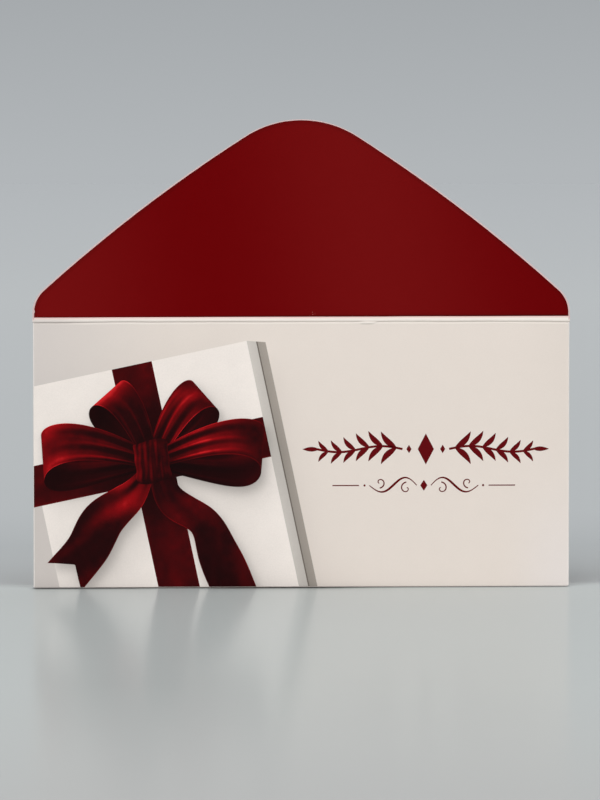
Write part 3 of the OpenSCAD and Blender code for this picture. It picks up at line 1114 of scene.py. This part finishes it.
def slope_of(row):
    """How steeply the camera looks down at a row of the picture, as height over distance."""
    return tan(CAM_EL + atan((row - PICTURE_H / 2) / FOCAL_PX))


def shares(stops):
    """The stops with their places carried into the range from 0 to 1."""
    first, last = stops[0][0], stops[-1][0]
    return [((at - first) / (last - first), value) for at, value in stops]


def floor_tone(tree, y, behind):
    """The floor's colour, by how far from the camera's place a point of it is."""
    eye_height = CAM_AWAY * sin(CAM_EL) + CAM_AT[2]
    slope = tree.math("DIVIDE", eye_height, tree.math("ADD", y, CAM_AWAY))
    stops = [(slope_of(row), tone(*colour)) for row, colour in FAR_TONES]
    far = tree.ramp(tree.ranged(slope, stops[0][0], stops[-1][0]), shares(stops))
    return tree.mix(behind, tree.mix(tree.ranged(y, *NEAR_CHANGE), *NEAR_TONES), far)


def contact_shadow(tree, x, y):
    """The shadow of contact: a core that fades fast and a tail whose darkness changes along the width."""
    def faded(edge, way, length):
        """1 under the envelope and less, the further from its edge at that Y, with no end."""
        gone = tree.ranged(y, edge * MM, (edge + way * length) * MM, 0, -1, clamp=False)
        return tree.math("EXPONENT", gone, clamp=True)

    def around(length):
        return tree.times(faded(-BODY_T, -1, length), faded(0, 1, length))

    along = tree.ranged(x, TAIL[0][0] * MM, TAIL[-1][0] * MM)
    in_front = tree.ramp(along, shares([(at, (dark,) * 3) for at, dark in TAIL]))
    inside = tree.ranged(tree.math("ABSOLUTE", x), 81.2 * MM, 83 * MM, 1, 0)
    behind = tree.ranged(inside, 0, 1, 0, TAIL_BEHIND)
    by_side = tree.add("Mix", {0: tree.ranged(y, -0.8 * MM, -0.2 * MM), 2: in_front, 3: behind}).outputs[0]
    tail = tree.times(around(TAIL_LENGTH), by_side)
    core = tree.times(around(CORE_LENGTH), tree.times(tree.ranged(x, 8 * MM, 40 * MM, 1, 0.45), inside))
    return tree.math("ADD", tree.times(core, tree.ranged(tail, 0, 1, 1, 0)), tail, clamp=True)


def floor_material():
    mat = bpy.data.materials.new("floor")
    tree = Tree(mat, empty=True)
    place = tree.add("SeparateXYZ", {0: tree.add("NewGeometry").outputs["Position"]})
    x, y = place.outputs["X"], place.outputs["Y"]
    behind = tree.ranged(y, 0.009, 0.015)
    matt = tree.add("BsdfDiffuse", {"Color": floor_tone(tree, y, behind)})
    gloss = tree.add("BsdfGlossy", {"Roughness": 0.16})
    shine = tree.times(tree.ranged(behind, 0, 1, 1, 0), tree.ranged(y, *NEAR_CHANGE, 0.06, 0.30))
    dark = tree.add("BsdfDiffuse", {"Color": (*tone(28, 26, 24), 1)})
    touched = tree.shaders(contact_shadow(tree, x, y), tree.shaders(shine, matt, gloss), dark)
    tree.add("OutputMaterial", {"Surface": touched.outputs[0]})
    return mat


def make_floor():
    mesh = bpy.data.meshes.new("floor")
    corners = [(x * FLOOR_REACH, y * FLOOR_REACH, 0) for x, y in ((-1, -1), (1, -1), (1, 1), (-1, 1))]
    mesh.from_pydata(corners, [], [(0, 1, 2, 3)])
    mesh.materials.append(floor_material())
    return placed("floor", mesh)


def studio():
    """The world: a sky that is seen, dimmer in reflections, dark towards the camera, and plain light."""
    world = bpy.data.worlds.new("studio")
    bpy.context.scene.world = world
    tree = Tree(world, empty=True)
    direction = tree.add("SeparateXYZ", {0: tree.add("TexCoord").outputs["Generated"]}).outputs
    sky = tree.ramp(tree.ranged(direction["Z"], 0.0, 0.2),
                    ((0.0, tone(178, 182, 185)), (0.19, tone(165, 169, 172)), (1.0, (1, 1, 1))))
    looks = (sky, 1), (sky, 0.84), ((0.035, 0.035, 0.035, 1), 1), ((1, 1, 1, 1), 0.55)
    seen, reflected, dim, lit = (tree.add("Background", {"Color": c, "Strength": s}) for c, s in looks)
    path = tree.add("LightPath").outputs
    mirrored = tree.shaders(tree.ranged(direction["Y"], -0.45, -0.05, 1, 0), reflected, dim)
    unseen = tree.shaders(path["Is Glossy Ray"], lit, mirrored)
    straight = tree.math("MAXIMUM", path["Is Camera Ray"], path["Is Transmission Ray"])
    tree.add("OutputWorld", {"Surface": tree.shaders(straight, unseen, seen).outputs[0]})


def seen_from(azimuth, elevation):
    """Direction to a viewer at an azimuth, 0 from the front, and an elevation, in radians."""
    across = cos(elevation)
    return Vector((sin(azimuth) * across, -cos(azimuth) * across, sin(elevation)))


def aimed(name, data, way):
    """A lamp or camera that looks back along a direction."""
    made = placed(name, data)
    made.rotation_mode = "QUATERNION"
    made.rotation_quaternion = way.to_track_quat("Z", "Y")
    return made


def sun(name, azimuth, elevation, strength, angle):
    """A soft far lamp in that direction, in degrees."""
    data = bpy.data.lights.new(name, "SUN")
    data.energy, data.angle = strength, radians(angle)
    made = aimed(name, data, seen_from(radians(azimuth), radians(elevation)))
    made.visible_glossy = False
    return made


def camera():
    data = bpy.data.cameras.new("camera")
    data.sensor_width = 36
    data.lens = FOCAL_PX * data.sensor_width / PICTURE_H
    data.clip_start, data.clip_end = 0.1, 100
    way = seen_from(CAM_AZ, CAM_EL)
    made = aimed("camera", data, way)
    made.location = Vector(CAM_AT) + way * CAM_AWAY
    bpy.context.scene.camera = made


floor = make_floor()
studio()
sun("key", -32, 44, 1.45, 50)
sun("fill", 46, 34, 0.9, 60)

# A soft lamp for the envelope's back only
lit_only = bpy.data.collections.new("lit_from_behind")
for obj in bpy.context.scene.objects:
    if obj.type == "MESH" and obj is not floor:
        lit_only.objects.link(obj)
sun("back", 168, 30, 1.0, 60).light_linking.receiver_collection = lit_only

camera()
bpy.context.scene.view_settings.view_transform = "Standard"
